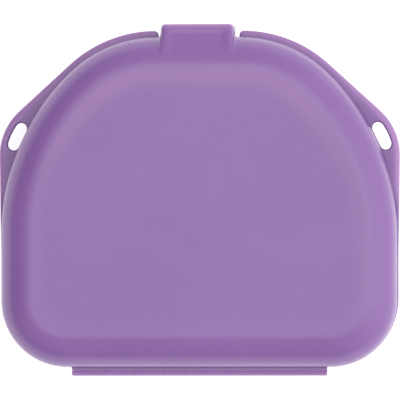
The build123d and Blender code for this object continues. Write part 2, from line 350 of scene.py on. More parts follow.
def build_lid():
    marks = (
        [0.0]
        + tongue_columns()
        + LID_JOINS[1:]
        + [LID_LENGTH - HINGE_HALF - x for x in (-0.32, -0.16, -0.05, 0.0, 0.04, 0.08, 0.2)]
    )
    marks = [m for m in marks if not 8.52 < m < 8.8 or m == LID_FRONT_HALF]
    s = fill(marks, lambda v: 0.72 if v < 6 or LID_JOINS[4] < v < LID_JOINS[5] else 0.95)
    p, n = outline(s, LID)
    count = len(s)

    def ring(d, z):
        d = np.broadcast_to(np.asarray(d, float), (count,))
        z = np.broadcast_to(np.asarray(z, float), (count,))
        return np.column_stack([p - d[:, None] * n, z])

    def crown(x, y):
        r = np.hypot(np.asarray(x) / 34.0, (np.asarray(y) + 0.5) / 28.0)
        return TOP_Z - CROWN * np.clip(r, 0, 1.2) ** 2 * 1.0

    edge_d, _ = dome(0)
    flat_edge = ring(edge_d, TOP_Z)
    core = flat_edge.copy()
    core[:, 0] *= 0.60
    core[:, 1] = (core[:, 1] + 0.8) * 0.60 - 0.8
    out_rows, worn = [], []

    # flat top, from the middle patch out to the start of the rounding
    for f in np.linspace(0, 1, 11)[:-1]:
        row = core * (1 - f) + flat_edge * f
        row[:, 2] = crown(row[:, 0], row[:, 1])
        out_rows.append(row)
        worn.append(0.0)
    sink = TOP_Z - crown(flat_edge[:, 0], flat_edge[:, 1])

    # dome and tongue
    radial = []
    cy, cz = LID_FRONT_Y - LID_RD - wall_inset(0.6 * TOP_Z + 0.4 * LID_Z), LID_ZC
    for t in np.linspace(0, T_THETA, 8):
        radial.append((float(t), None))
    for y, z, ny, nz in tongue_rows():
        # the dome's point straight below this one, seen from the middle of the rounding
        want = math.atan2(y - cy, z - cz)
        low, high = 0.0, 90.0
        for _ in range(40):
            mid = 0.5 * (low + high)
            d, zz = dome(mid)
            low, high = (mid, high) if math.atan2(LID_FRONT_Y - d - cy, zz - cz) < want else (low, mid)
        radial.append((low, (y, z, ny, nz)))
    last_front = None
    x = p[:, 0]
    near = (s < LID_FRONT_HALF + 0.01)
    for theta, face in radial:
        d, z = dome(theta)
        d, z = float(d), float(z)
        if face is not None and z < FLAP_ROOT_Z:
            z = FLAP_ROOT_Z + 0.012 * (len(radial) + 9 - len(out_rows))  # short of the root, row by row
            d = wall_inset(z)
        row = ring(d, z)
        row[:, 2] -= sink * max(0.0, (z - LID_ZC) / LID_RZ) ** 1.5
        if face is not None:
            y, zz, ny, nz = face
            foot_y, foot_z = LID_FRONT_Y - d, z
            reach = math.hypot(y - foot_y, zz - foot_z)
            if reach > 1e-6:
                way = ((y - foot_y) / reach, (zz - foot_z) / reach)
                top_cos = way[0] * ny + way[1] * nz
                top_r = TOP_R - 0.08 * float(ease(21.0 - zz, 0, 2.0))
                for i in np.nonzero(near)[0]:
                    h = tongue_lift(x[i], reach, top_cos, top_r)
                    low = dish(x[i], y) if nz > 0.5 else 0.0
                    row[i, 1] += way[0] * h - ny * low
                    row[i, 2] += way[1] * h - nz * low
            last_front = row.copy()
        out_rows.append(row)
        worn.append(1.0 if face is not None and 0.15 < face[3] < 0.9 else 0.0)
    # under the tongue, back to the wall
    wall_z = [17.97, 17.94, 17.91]
    foot_y = LID_FRONT_Y - wall_inset(FLAP_ROOT_Z)
    for z, f in zip(wall_z, (0.68, 0.34, 0.0)):
        row = ring(wall_inset(z), z)
        for i in np.nonzero(near)[0]:
            lift = last_front[i, 1] - foot_y
            level = float(ease(lift, 0.0, 0.25))
            row[i, 1] = foot_y + lift * f * level
            row[i, 2] = z + (FLAP_ROOT_Z - z) * level
        out_rows.append(row)
        worn.append(0.0)
    # the wall, with the upper hinge land at the back
    end = s - (LID_LENGTH - HINGE_HALF)  # past 0 the land stands out
    land = np.where(end >= 0, 1 - (1 - np.clip(end / 0.32, 0, 1)) ** 2 * 0.22, 0.0)
    land = np.where((end < 0) & (end > -0.10), 0.12 * (1 + end / 0.10), land)
    land[(end >= -1e-9) & (end < 0.02)] = 0.60

    def wall_row(z, share, out=LAND_OUT, land_z=None):
        row = ring(wall_inset(z), z)
        y = row[:, 1].copy()
        target = BACK_Y - out
        row[:, 1] = np.where(land > 0, y + (target - y) * land * share, y)
        if land_z is not None:
            row[:, 2] = np.where(land > 0.3, land_z, row[:, 2])
        return row

    for z in (17.5, 17.0, 16.4, 15.95, 15.75):
        out_rows.append(wall_row(z, 0.0))
        worn.append(0.0)
    for z, share, land_z in ((15.68, 0.03, 15.63), (15.66, 0.16, 15.602), (15.64, 0.5, 15.6), (15.62, 0.9, 15.6), (15.60, 1.0, 15.6)):
        out_rows.append(wall_row(z, share, land_z=land_z))
        worn.append(0.4 if share == 1.0 else 0.0)
    for z in (15.3, 14.6, 13.9, 13.3, 13.08):
        out_rows.append(wall_row(z, 1.0))
        worn.append(0.0)
    across, up = quarter(5)
    for a, u in zip(across[1:], up[1:]):
        row = wall_row(LID_Z + 0.34 * (1 - a), 1.0)
        row[:, :2] -= n * (0.34 * u)
        row[:, 2] = LID_Z + 0.34 * (1 - a)
        out_rows.append(row)
        worn.append(1.0)
    # rim face and the inside
    inner_d = 1.25
    for f in (0.35, 0.75):
        outer = out_rows[-1]
        inner = ring(inner_d - 0.2, LID_Z)
        base = out_rows[-1] if f == 0.35 else base
        out_rows.append(base * (1 - f) + inner * f)
        worn.append(0.0)
    across, up = quarter(3)
    for a, u in zip(across, up):
        out_rows.append(ring(inner_d - 0.2 * (1 - a) + 0.2 * u * 0, LID_Z + 0.2 * u))
        worn.append(1.0)
    in_rz, in_rd, in_top = 5.2, 5.0, TOP_Z - 1.8
    in_zc = in_top - in_rz
    for z in np.linspace(LID_Z + 0.35, in_zc, 6):
        out_rows.append(ring(inner_d + (z - LID_Z) * HOLLOW_TAN, z))
        worn.append(0.0)
    for t in np.linspace(90, 0, 15)[1:]:
        a = math.radians(t)
        z = in_zc + in_rz * math.cos(a)
        out_rows.append(ring(inner_d + in_rd * (1 - math.sin(a)) + (z - LID_Z) * HOLLOW_TAN, z))
        worn.append(0.0)
    inner_edge = out_rows[-1]
    inner_core = core.copy()
    inner_core[:, 2] = in_top
    for f in np.linspace(0, 1, 9)[1:]:
        row = inner_edge * (1 - f) + inner_core * f
        out_rows.append(row)
        worn.append(0.0)

    shell = Shell()
    rings = [shell.add(mirror_ring(r[None])[0], w) for r, w in zip(out_rows, worn)]
    for a, b in zip(rings[:-1], rings[1:]):
        shell.between(a, b)
    k = 34
    shell.patch(list(rings[0]), k, height=crown)
    shell.patch(list(rings[-1]), k)

    q = np.array(shell.points)
    x, y = np.abs(q[:, 0]), q[:, 1]
    # painted highlight: the tongue's nose and sides are painted paler along their edges
    nose = 0.8 * ease(y, 34.7, 35.7) + 0.5 * ease(x, 6.8, 7.4) * ease(y, 33.4, 34.4)
    shell.pale = np.clip(nose, 0, 1) * (q[:, 2] > 18.3) + 0.50 * ease(-y, 0.1 - BACK_Y, 0.3 - BACK_Y)
    # painted light: the hinge land at the back (the last term above) is painted paler, which also keeps it out of the
    # painted seam shade
    # painted highlight: the rim of the flat top is painted a little paler, strongest where it faces the front and least
    # at the back
    top = np.nonzero(q[:, 2] > 23.9)[0]
    flat = np.column_stack([x[top], y[top]])
    near_s = np.argmin(((flat[:, None, :] - p[None]) ** 2).sum(2), 1)
    inward = ((p[near_s] - flat) * n[near_s]).sum(1) - edge_d
    ahead = ease(n[near_s][:, 1], 0.15, 0.75)
    rim_highlight = np.exp(-((inward - 0.4 - 0.5 * ahead) / (1.5 + 0.5 * ahead)) ** 2)
    rim_highlight *= ease(y[top], -31.0, -24.0) * (y[top] < T_Y + 0.5)
    shell.pale[top] += (0.15 + 0.20 * ahead) * rim_highlight
    return shell.make("lid")


# ------------------------------------------------------------------ base
def ear_reach(point, normal):
    """Distance along the normal from the D outline to the flange's outer edge at the ear."""
    best = 0.0
    px, py = point
    nx, ny = normal
    # the ear's corner arc
    cx, cy = EAR_CENTRE
    bx, by = px - cx, py - cy
    b = bx * nx + by * ny
    c = bx * bx + by * by - EAR_R ** 2
    turn = math.acos((SHOULDER_R + FLANGE_OUT - EAR_R) / math.hypot(cx - FRONT_HALF, cy - FRONT_Y + SHOULDER_R))
    turn += math.atan2(cy - FRONT_Y + SHOULDER_R, cx - FRONT_HALF)
    if b * b - c > 0:
        t = -b + math.sqrt(b * b - c)
        a = math.degrees(math.atan2(py + t * ny - cy, px + t * nx - cx))
        if -EAR_LEAN <= a <= math.degrees(turn):
            return t
    # the straight runs either side of it
    lean = math.radians(EAR_LEAN)
    ex, ey = cx + EAR_R * math.cos(lean), cy - EAR_R * math.sin(lean)
    fy = ey - (ex - HALF_X) / math.tan(lean)
    for a, b in (
        ((ex, ey), (HALF_X, fy)),
        (
            (cx + EAR_R * math.cos(turn), cy + EAR_R * math.sin(turn)),
            (FRONT_HALF + (SHOULDER_R + FLANGE_OUT) * math.cos(turn), FRONT_Y - SHOULDER_R + (SHOULDER_R + FLANGE_OUT) * math.sin(turn)),
        ),
    ):
        dx, dy = b[0] - a[0], b[1] - a[1]
        det = nx * dy - ny * dx
        if abs(det) < 1e-9:
            continue
        t = ((a[0] - px) * dy - (a[1] - py) * dx) / det
        u = ((a[0] - px) * ny - (a[1] - py) * nx) / det
        if -1e-6 <= u <= 1 + 1e-6 and t > -0.01:
            best = max(best, t)
    return best


def slot_outline(count_side, count_end):
    """The lanyard slot, as (2*side + 2*end) points in its own axes: u along it, v across, outwards.
    A straight inner side, round ends and an outer side that bows with the ear's edge."""
    half, r = SLOT_LENGTH / 2, SLOT_WIDTH / 2
    # the outline by arc length: straight side, end, bowed side, end
    pts = []
    straight = 2 * (half - r)
    def point(q):
        """q in 0..1 round the outline, starting at the inner side's rear end."""
        total = 2 * straight + 2 * math.pi * r
        q = (q % 1.0) * total
        if q < straight:
            return -straight / 2 + q, -r
        q -= straight
        if q < math.pi * r:
            a = -math.pi / 2 + q / r
            return straight / 2 + r * math.cos(a), r * math.sin(a)
        q -= math.pi * r
        if q < straight:
            return straight / 2 - q, r
        q -= straight
        a = math.pi / 2 + q / r
        return -straight / 2 + r * math.cos(a), r * math.sin(a)
    total = 2 * straight + 2 * math.pi * r
    eighth = math.pi * r / 4
    side = straight + 2 * eighth
    end = math.pi * r / 2
    start = -eighth
    for k in range(count_side):
        pts.append(point((start + side * k / count_side) / total))
    for k in range(count_end):
        pts.append(point((start + side + end * k / count_end) / total))
    for k in range(count_side):
        pts.append(point((start + side + end + side * k / count_side) / total))
    for k in range(count_end):
        pts.append(point((start + 2 * side + end + end * k / count_end) / total))
    out = []
    for u, v in pts:
        if v > 0:  # the outer side bows out in its middle and draws in near the front end
            v += v / r * (0.20 * math.cos(math.pi * u / (2 * half)) ** 2 - 0.02)
        out.append((u, v))
    return np.array(out)


NF = 8  # rows across the flange, top and bottom


def build_base():
    # the slot's place along the outline
    slot_s, best = 0.0, 1e9
    for v in np.linspace(FRONT_HALF, HALF_LENGTH, 4000):
        q, _ = outline(v)
        dist = math.hypot(q[0, 0] - SLOT_CENTRE[0], q[0, 1] - SLOT_CENTRE[1])
        if dist < best:
            best, slot_s = dist, v
    lip_end = length_at_y(-15.9)
    land_s = HALF_LENGTH - HINGE_HALF
    gap_cols = [8.24, 8.265, 8.29, 8.31]
    gap_round = [8.31 + 0.9 * (1 - math.cos(a)) for a in np.linspace(0, math.pi / 2, 6)[1:]]
    block_a, block_b = slot_s - 4.3, slot_s + 4.3
    marks = (
        [0.0, 6.35, 6.5, 6.57, 6.60, 6.64, 6.75, 8.12, 8.19] + gap_cols + gap_round
        + [j for j in JOINS[2:]] + [block_a, block_b]
        + [lip_end + x for x in (-0.9, -0.6, -0.3, 0.0, 0.3)]
        + [land_s + x for x in (-0.2, -0.08, -0.03, 0.0, 0.05, 0.16, 0.32)]
    )
    s = fill(marks, lambda v: 0.55 if block_a < v < block_b else (0.75 if JOINS[4] < v < JOINS[5] else 0.95))
    p, n = outline(s)
    count = len(s)

    # how far the flange's edge stands from the D outline, and how it is rounded
    out = np.zeros(count)
    r_top = np.full(count, 0.35)
    for i in range(count):
        v = s[i]
        if v <= 6.57:
            out[i], r_top[i] = 0.0, 0.15
        elif v < 6.70:
            out[i] = -0.9 * float(ease(v, 6.57, 6.65))
            r_top[i] = 0.15
        elif v < 8.24:
            out[i], r_top[i] = -0.9, 0.15
        elif v <= 8.311:
            out[i] = {8.24: -0.85, 8.265: -0.55, 8.29: -0.25, 8.31: 0.0}[min(gap_cols, key=lambda g: abs(g - v))]
            r_top[i] = 0.2 + 0.2 * (out[i] + 0.9) / 0.9
        else:
            t = ear_reach(p[i], n[i])
            if v < slot_s and t < FLANGE_OUT:
                t = FLANGE_OUT
            if v < 9.21:
                u = (9.21 - v) / 0.9
                t = FLANGE_OUT - 0.9 * (1 - math.sqrt(max(0.0, 1 - u * u)))
            out[i] = t
            r_top[i] = 0.45 + 0.2 * float(ease(t, 0.9, 2.2))
            if v > slot_s:
                r_top[i] = 0.35 + 0.30 * float(ease(t, 0.1, 2.0))
    end = s - land_s
    land = np.where(end >= 0, 1 - (1 - np.clip(end / 0.32, 0, 1)) ** 2 * 0.22, 0.0)
    land = np.where((end < 0) & (end > -0.10), 0.12 * (1 + end / 0.10), land)
    land[(end >= -1e-9) & (end < 0.02)] = 0.60
    on_land = land > 0.3
    r_across = np.where((land > 0) | (r_top < 0.3), 1.0, 1.0 + 0.6 * ease(out, 0.2, 0.9)) * r_top
    out = out + land * LAND_OUT
    r_top = np.where(land > 0, 0.25, r_top)
    low_z = np.where(on_land, LAND_LOW_Z, RIM_Z - FLANGE_T)
    r_low = np.where(on_land, 0.02, np.minimum(np.minimum(r_top, 0.6), np.maximum(0.05, out + 0.76)))
    thin = (out - r_low) < -0.755  # nothing stands out here: the rows run down the wall
    r_across = np.where(land > 0, 0.25, r_across)
    t_in = np.minimum(-0.75, out - r_across - 0.2)
    lip = 1 - ease(s, lip_end - 0.9, lip_end + 0.05)

    def ring(t, z):
        t = np.broadcast_to(np.asarray(t, float), (count,))
        z = np.broadcast_to(np.asarray(z, float), (count,))
        return np.column_stack([p + t[:, None] * n, z])

    rows, worn, tags = [], [], {}

    def push(t, z, w=0.0, tag=None):
        if tag:
            tags[tag] = len(rows)
        rows.append(ring(t, z))
        worn.append(w)

    def wall(z, inset=0.9):
        return -(inset + (RIM_Z - z) * TAN)

    # inside: floor, rounding, wall
    floor_z, in_r = 1.6, 4.3
    floor_t = wall(floor_z, 2.6) - in_r
    inner_edge = ring(floor_t, floor_z)
    core = inner_edge.copy()
    core[:, 0] *= 0.62
    core[:, 1] = (core[:, 1] + 0.8) * 0.62 - 0.8
    for f in np.linspace(0, 1, 9)[:-1]:
        rows.append(core * (1 - f) + inner_edge * f)
        worn.append(0.0)
    for a in np.linspace(0, math.pi / 2, 12):
        z = floor_z + in_r * (1 - math.cos(a))
        push(wall(z, 2.6) - in_r * (1 - math.sin(a)), z)
    for z in np.linspace(floor_z + in_r, 12.2, 6)[1:]:
        push(wall(z, 2.6), z)
    # lip: its inside continues the wall
    top = 14.1
    r = 0.2
    for z, flat in ((12.45, 12.25), (12.6, 12.3), (13.2, 12.35), (top - r, RIM_Z - 0.2)):
        push(-2.6, flat + lip * (z - flat))
    across, up = quarter(3)
    for a, u in zip(across[1:], up[1:]):
        z = top - r + r * a
        low = RIM_Z - 0.2 + 0.2 * a
        push(-2.6 + r * u, low + lip * (z - low), 1.0)
    for a, u in zip(across, up):
        z = top - r * u
        push(-1.829 - r * (1 - a), RIM_Z + lip * (z - RIM_Z), 1.0)
    for z in (13.3, 12.85, 12.66):
        push(-1.829 + (top - z) * 0.0524, RIM_Z + lip * (z - RIM_Z))
    push(-1.70, RIM_Z)
    push((-1.70 + t_in) / 2 + 0.0, RIM_Z)
    # top of the flange
    for k in range(NF + 1):
        f = k / NF
        push(t_in * (1 - f) + (out - r_across) * f, RIM_Z, tag=f"top{k}")
    across, up = quarter(5)
    for a, u in zip(across[1:], up[1:]):
        push(out - r_across * (1 - a), RIM_Z - r_top * u, 1.0)
    gap = (RIM_Z - r_top) - (low_z + r_low)
    for f in (0.33, 0.67):
        z = RIM_Z - r_top - gap * f
        push(np.where(thin, np.minimum(out, wall(z)), out), z)
    for a, u in zip(across[::-1], up[::-1]):
        z = low_z + r_low * u
        push(np.where(thin, wall(z), out - r_low * (1 - a)), z, 1.0)
    # underside of the flange, to the bowl's wall
    foot = 0.16
    under_end = np.where(thin, wall(10.55), wall(low_z) + foot)
    for k in range(1, NF + 1):
        f = k / NF
        z_thin = (low_z) + (10.55 - low_z) * f
        t_thin = wall(z_thin)
        t = np.where(thin, t_thin, (out - r_low) * (1 - f) + under_end * f)
        z = np.where(thin, z_thin, low_z)
        if k == 1:
            tags["under0"] = len(rows) - 1
        push(t, z, tag=f"under{k}")
    across, up = quarter(3)
    for a, u in zip(across[1:], up[1:]):
        z = np.where(thin, 10.5 - 0.03 * u, low_z - foot * u)
        t = np.where(thin, wall(10.5 - 0.03 * u), wall(low_z - foot) + foot * (1 - a))
        push(t, z)
    low = np.where(on_land, low_z - 0.4, 10.3)
    for f in np.linspace(0, 1, 6):
        z = low * (1 - f) + 6.1 * f
        push(wall(z), z)
    # bottom rounding
    for a in np.linspace(0, math.pi / 2, 14):
        z = 6.0 - 6.0 * math.sin(a)
        push(wall(z) - 6.0 * (1 - math.cos(a)), z, 0.0)
    ring_in = wall(0) - 6.0 - 2.2
    for f in (0.3, 0.7):
        push(wall(0) - 6.0 - 2.2 * f, 0.0, 0.6)
    across, up = quarter(3)
    for a, u in zip(across, up):
        push(ring_in + 0.12 * (1 - a), 0.12 * u, 1.0)
    for a, u in zip(across[::-1], up[::-1]):
        push(ring_in - 0.03 - 0.14 * (1 - a), 0.4 - 0.14 * u, 0.0)
    panel_edge = rows[-1]
    low_core = core.copy()
    low_core[:, 2] = 0.4
    for f in np.linspace(0, 1, 8)[1:]:
        rows.append(panel_edge * (1 - f) + low_core * f)
        worn.append(0.0)

    shell = Shell()
    rings = [shell.add(mirror_ring(r_[None])[0], w) for r_, w in zip(rows, worn)]
    ia = int(np.argmin(abs(s - block_a)))
    ib = int(np.argmin(abs(s - block_b)))
    total = 2 * (count - 1)

    def in_block(i):
        j = i if i < count - 1 else total - 1 - i  # the left half's own column
        return ia <= j < ib

    holes = set(range(tags["top0"], tags[f"top{NF}"])) | set(range(tags["under0"], tags[f"under{NF}"]))
    for j in range(len(rings) - 1):
        shell.between(rings[j], rings[j + 1], skip=in_block if j in holes else None)
    k = 34
    shell.patch(list(rings[0]), k)
    shell.patch(list(rings[-1]), k)

    # the ears' slots: rings of quads from the block's border in to the slot
    lean = math.radians(90 + SLOT_LEAN)
    along = np.array([math.cos(lean), math.sin(lean)])  # towards the front
    across_v = np.array([along[1], -along[0]])  # outwards on the right ear
    border_n = ib - ia
    slot_rims = []
    for side in (1, -1):
        def col(i):
            return i if side == 1 else (total - i) % total
        loops = []
        for base_tag, is_top in (("top", True), ("under", False)):
            # inner side from back to front, front end, outer side, rear end
            first, last = (0, NF) if is_top else (NF, 0)
            r_in, r_out = tags[f"{base_tag}{first}"], tags[f"{base_tag}{last}"]
            step = 1 if r_out > r_in else -1
            border = [rings[r_in][col(i)] for i in range(ib, ia, -1)]
            border += [rings[r_][col(ia)] for r_ in range(r_in, r_out, step)]
            border += [rings[r_out][col(i)] for i in range(ia, ib)]
            border += [rings[r_][col(ib)] for r_ in range(r_out, r_in, -step)]
            loops.append(border)
        shape = slot_outline(border_n, NF)
        slot_xy = np.array([np.array(SLOT_CENTRE) + u * along + v * across_v for u, v in shape])
        mid = slot_xy.mean(0)
        away = np.zeros_like(slot_xy)
        m = len(slot_xy)
        for q in range(m):
            d = slot_xy[(q + 1) % m] - slot_xy[q - 1]
            d = np.array([d[1], -d[0]]) / max(np.linalg.norm(d), 1e-9)
            away[q] = d if d @ (slot_xy[q] - mid) > 0 else -d
        slot_xy[:, 0] *= side
        away[:, 0] *= side
        edge_r = 0.26
        wall_rings = []
        a4, u4 = quarter(3)
        heights = []
        for a, u in zip(a4, u4):
            heights.append((edge_r * (1 - a), RIM_Z - edge_r * u))
        heights += [(0.0, 12.0), (0.0, 11.6)]
        for a, u in zip(a4[::-1], u4[::-1]):
            heights.append((edge_r * (1 - a), RIM_Z - FLANGE_T + edge_r * u))
        for spread, z in heights:
            wall_rings.append(shell.add(np.column_stack([slot_xy + away * spread, np.full(m, z)])))
        for a, b in zip(wall_rings[:-1], wall_rings[1:]):
            shell.between(a, b)
        slot_rims.extend(np.concatenate(wall_rings).tolist())
        for border, target in ((loops[0], wall_rings[0]), (loops[1], wall_rings[-1])):
            outer = np.array([shell.points[i] for i in border])
            inner = np.array([shell.points[i] for i in target])
            previous = np.array(border)
            for f in (0.3, 0.6, 0.85):
                now = shell.add(outer * (1 - f) + inner * f)
                shell.between(previous, now)
                previous = now
            shell.between(previous, target)

    # painted light and shade on the flange's top: painted paler towards its outer edge and darker next to the lid's
    # wall
    q = np.array(shell.points)
    top = np.nonzero((q[:, 2] > RIM_Z - 1.2) & (q[:, 2] <= RIM_Z + 0.01))[0]
    flat = np.column_stack([np.abs(q[top, 0]), q[top, 1]])
    near_s = np.argmin(((flat[:, None, :] - p[None]) ** 2).sum(2), 1)
    t = ((flat - p[near_s]) * n[near_s]).sum(1)
    reach = np.maximum(out[near_s], 0.05)
    wide = ease(reach, 1.2, 2.6)  # 1 on the ears, which are painted darker towards the lid
    within = 0.25 - 0.33 * wide + 0.20 * ease(flat[:, 1], 26.0, 31.0)
    pale = (within + (1 - within) * ease(t / reach, 0.1 + 0.25 * wide, 0.9 + 0.1 * wide)) * ease(reach, 0.4, 1.0)
    pale *= land[near_s] <= 0
    shell.pale = np.zeros(len(q))
    shell.pale[top] = pale * ease(q[top, 2], RIM_Z - 1.2, RIM_Z - 0.5)
    # painted light: the hinge land at the back is painted paler, which also keeps it out of the painted seam shade
    shell.pale += 0.50 * ease(-q[:, 1], 0.1 - BACK_Y, 0.3 - BACK_Y)
    # painted shade: the slots' rims are pushed deeper into the painted seam shade
    shell.pale[slot_rims] = -0.3
    return shell.make("base")


# ------------------------------------------------------------------ flap, strap and webs
def build_flap():
    """The hanging flap with its hook: a closed outline in y and z, carried across x."""
    front, back = TONGUE_Y, TONGUE_Y - FLAP_T
    core = TONGUE_Y - 0.94
    outline_pts = [(front, z, 1, 0) for z in (18.0, 17.6, 17.1, 16.5, 15.8, 15.0, 14.0, 13.0, 12.0, 11.0, 10.0, 9.2)]
    for a in np.linspace(0, math.pi / 2, 6):
        outline_pts.append((front - 0.55 * (1 - math.cos(a)), FLAP_END_Z + 0.55 * (1 - math.sin(a)), math.cos(a), -math.sin(a)))
    outline_pts += [(core, FLAP_END_Z, 0, -1), (core - 0.35, FLAP_END_Z, 0, -1), (core - 0.52, FLAP_END_Z + 0.04, -0.4, -0.9)]
    # the lead-in, the hook's tip and its catching face
    outline_pts += [(core - 0.68, 8.62, -0.88, -0.47), (core - 1.0, 9.22, -0.88, -0.47), (core - 1.32, 9.82, -0.88, -0.47)]
    outline_pts += [(core + y, z, ny, nz) for y, z, ny, nz in (
        (-1.46, 10.12, -0.92, -0.38), (-1.52, 10.3, -1, 0), (-1.52, 10.62, -1, 0), (-1.48, 10.78, -0.8, 0.6),
        (-1.36, 10.85, -0.2, 1), (-1.0, 10.85, 0, 1), (-0.72, 10.87, -0.3, 1), (-0.58, 10.99, -0.8, 0.5),
    )]
    outline_pts += [(back, z, -1, 0) for z in (11.2, 12.0, 13.0, 14.0, 15.0, 15.8, 16.5, 17.1, 17.6, 18.0)]
    outline_pts += [(core - 0.2, 18.0, 0, 1), (core + 0.4, 18.0, 0, 1)]
    inner = fill([0.0] + [SIDE_X0 - 0.7 * (1 - math.sin(a)) for a in np.linspace(0, math.pi / 2, 8)], 0.9)
    right = list(inner)
    xs = [-x for x in right[:0:-1]] + right
    shell = Shell()
    rings = []
    for x in xs:
        u = max(0.0, (abs(x) - (SIDE_X0 - 0.7)) / 0.7)
        lead = 0.7 * (1 - math.sqrt(max(0.0, 1 - u * u)))
        v = max(0.0, (abs(x) - (SIDE_X0 - 0.3)) / 0.3)
        soft = 0.28 * (1 - math.sqrt(max(0.0, 1 - v * v)))
        ring = []
        for y, z, ny, nz in outline_pts:
            if y > core:  # the front edge rounds back to the side
                y = core + (y - core) * (0.94 - lead) / 0.94
            else:
                y += soft * min(1.0, (core - y) / 0.5)
            if z < 9.0:
                z += 0.5 * lead * (9.0 - z) / 0.6
            elif z < 12.0 and y < core - 0.6:
                z -= 0.3 * soft if nz > 0.5 else 0.0
            ring.append((x, y, z))
        rings.append(shell.add(np.array(ring), 0.0))
    for a, b in zip(rings[:-1], rings[1:]):
        shell.between(a, b)
    # the two sides: quads between the front and the back of the outline
    n = len(outline_pts)
    for ring in (rings[0], rings[-1]):
        i, j = 0, n - 1
        while j - i > 2:
            shell.quad(ring[i], ring[i + 1], ring[j - 1], ring[j])
            i, j = i + 1, j - 1
        if j - i == 2:
            shell.faces.append((int(ring[i]), int(ring[i + 1]), int(ring[j])))
    return shell.make("latch_flap_skin")


def band(name, outer, inner, wear=0.0, soft_end=0.12):
    """A strip across the case from paired outer and inner lines of (y, z)."""
    outer, inner = np.array(outer, float), np.array(inner, float)
    mid = (outer + inner) / 2
    ends = [(HINGE_HALF - soft_end * (1 - math.sin(a)), math.cos(a)) for a in np.linspace(0, math.pi / 2, 4)]
    right = [(x, 0.0) for x in fill([0.0, HINGE_HALF - 0.6, HINGE_HALF - soft_end], 1.3)[:-1]]
    right += [(x, 1 - math.sqrt(max(0.0, 1 - ((x - HINGE_HALF + soft_end) / soft_end) ** 2))) for x, _ in ends]
    stations = [(-x, c) for x, c in right[:0:-1]] + right
    shell = Shell()
    rings = []
    across = np.linspace(0, 1, 4)
    for x, c in stations:
        half = np.linalg.norm(outer - inner, axis=1)
        pull = np.minimum(soft_end, 0.35 * half) * c
        o = outer + (mid - outer) * (pull / (half / 2))[:, None]
        i = inner + (mid - inner) * (pull / (half / 2))[:, None]
        # round it goes: outer line, end, inner line back, start
        loop = list(o) + [o[-1] * (1 - f) + i[-1] * f for f in across[1:-1]] + list(i[::-1]) + [i[0] * (1 - f) + o[0] * f for f in across[1:-1]]
        grid = np.array([(x, y, z) for y, z in loop])
        w = np.zeros(len(grid))
        if np.ndim(wear):
            k = len(outer)
            w[:k] = wear
            w[k:k + 2] = wear[-1]
            w[k + 2:2 * k + 2] = np.asarray(wear)[::-1]
            w[2 * k + 2:] = wear[0]
        rings.append(shell.add(grid, w))
    for a, b in zip(rings[:-1], rings[1:]):
        shell.between(a, b)
    k = len(outer)
    for ring in (rings[0], rings[-1]):
        o = ring[:k]
        e_far = ring[k:k + 2]
        i = ring[k + 2:2 * k + 2][::-1]
        e_near = ring[2 * k + 2:][::-1]
        # columns of points from outer to inner at each place along the strip
        cols = []
        pts = np.array(shell.points)
        for q in range(k):
            if q == 0:
                cols.append([o[0], e_near[0], e_near[1], i[0]])
            elif q == k - 1:
                cols.append([o[-1], e_far[0], e_far[1], i[-1]])
            else:
                a, b = pts[o[q]], pts[i[q]]
                m1 = shell.add(a * (2 / 3) + b * (1 / 3), 0.3)
                m2 = shell.add(a * (1 / 3) + b * (2 / 3), 0.3)
                cols.append([o[q], int(m1), int(m2), i[q]])
        for c0, c1 in zip(cols[:-1], cols[1:]):
            for t in range(3):
                shell.quad(c0[t], c1[t], c1[t + 1], c0[t + 1])
    # painted light: the strap and webs are painted a little paler all over, which also keeps them out of the painted
    # seam shade
    shell.pale = np.full(len(shell.points), 0.25)
    return shell.make(name)


def web_lines(centre_z, upper):
    """Outer and inner lines of a web, from the land to the strap, thinned a little where it folds."""
    sign = 1 if upper else -1
    outer, inner, wear = [], [], []
    for a in np.linspace(90, 180, 31):
        t = (a - 90) / 90
        thin = 0.09 * math.exp(-((t - 0.02) / 0.06) ** 2) + 0.06 * math.exp(-((t - 0.28) / 0.05) ** 2)
        thin += 0.05 * math.exp(-((t - 0.90) / 0.07) ** 2)
        c, s_ = math.cos(math.radians(a)), math.sin(math.radians(a)) * sign
        outer.append((LAND_Y + (WEB_R + WEB_T / 2 - thin) * c, centre_z + (WEB_R + WEB_T / 2 - thin) * s_))
        inner.append((LAND_Y + (WEB_R - WEB_T / 2) * c, centre_z + (WEB_R - WEB_T / 2) * s_))
        wear.append(0.15 + 0.85 * math.exp(-((t - 0.5) / 0.32) ** 2))
    return outer, inner, wear


low_c = LAND_LOW_Z + WEB_T / 2 + WEB_R
high_c = LAND_HIGH_Z - WEB_T / 2 - WEB_R

lid = build_lid()
base = build_base()
flap = build_flap()
outer, inner, wear = web_lines(low_c, False)
base_web = band("base_web_skin", outer, inner, wear)
outer, inner, wear = web_lines(high_c, True)
lid_web = band("lid_web_skin", outer, inner, wear)

strap_low, strap_high = low_c, high_c
zs = [strap_low, strap_low + 0.12, strap_low + 0.3, strap_low + STRAP_TAPER, strap_low + 0.75]
zs += list(np.linspace(strap_low + 1.1, strap_high - 1.1, 5))
zs += [strap_high - 0.75, strap_high - STRAP_TAPER, strap_high - 0.3, strap_high - 0.12, strap_high]
outer, inner, wear = [], [], []
for z in zs:
    edge = min(z - strap_low, strap_high - z)
    outer.append((STRAP_OUT_Y, z))
    inner.append((STRAP_OUT_Y + WEB_T + (STRAP_T - WEB_T) * float(ease(edge, 0.0, STRAP_TAPER + 0.1)), z))
    wear.append(0.25 * math.exp(-(edge / 0.25) ** 2))
strap = band("strap_skin", outer, inner, wear, soft_end=0.2)


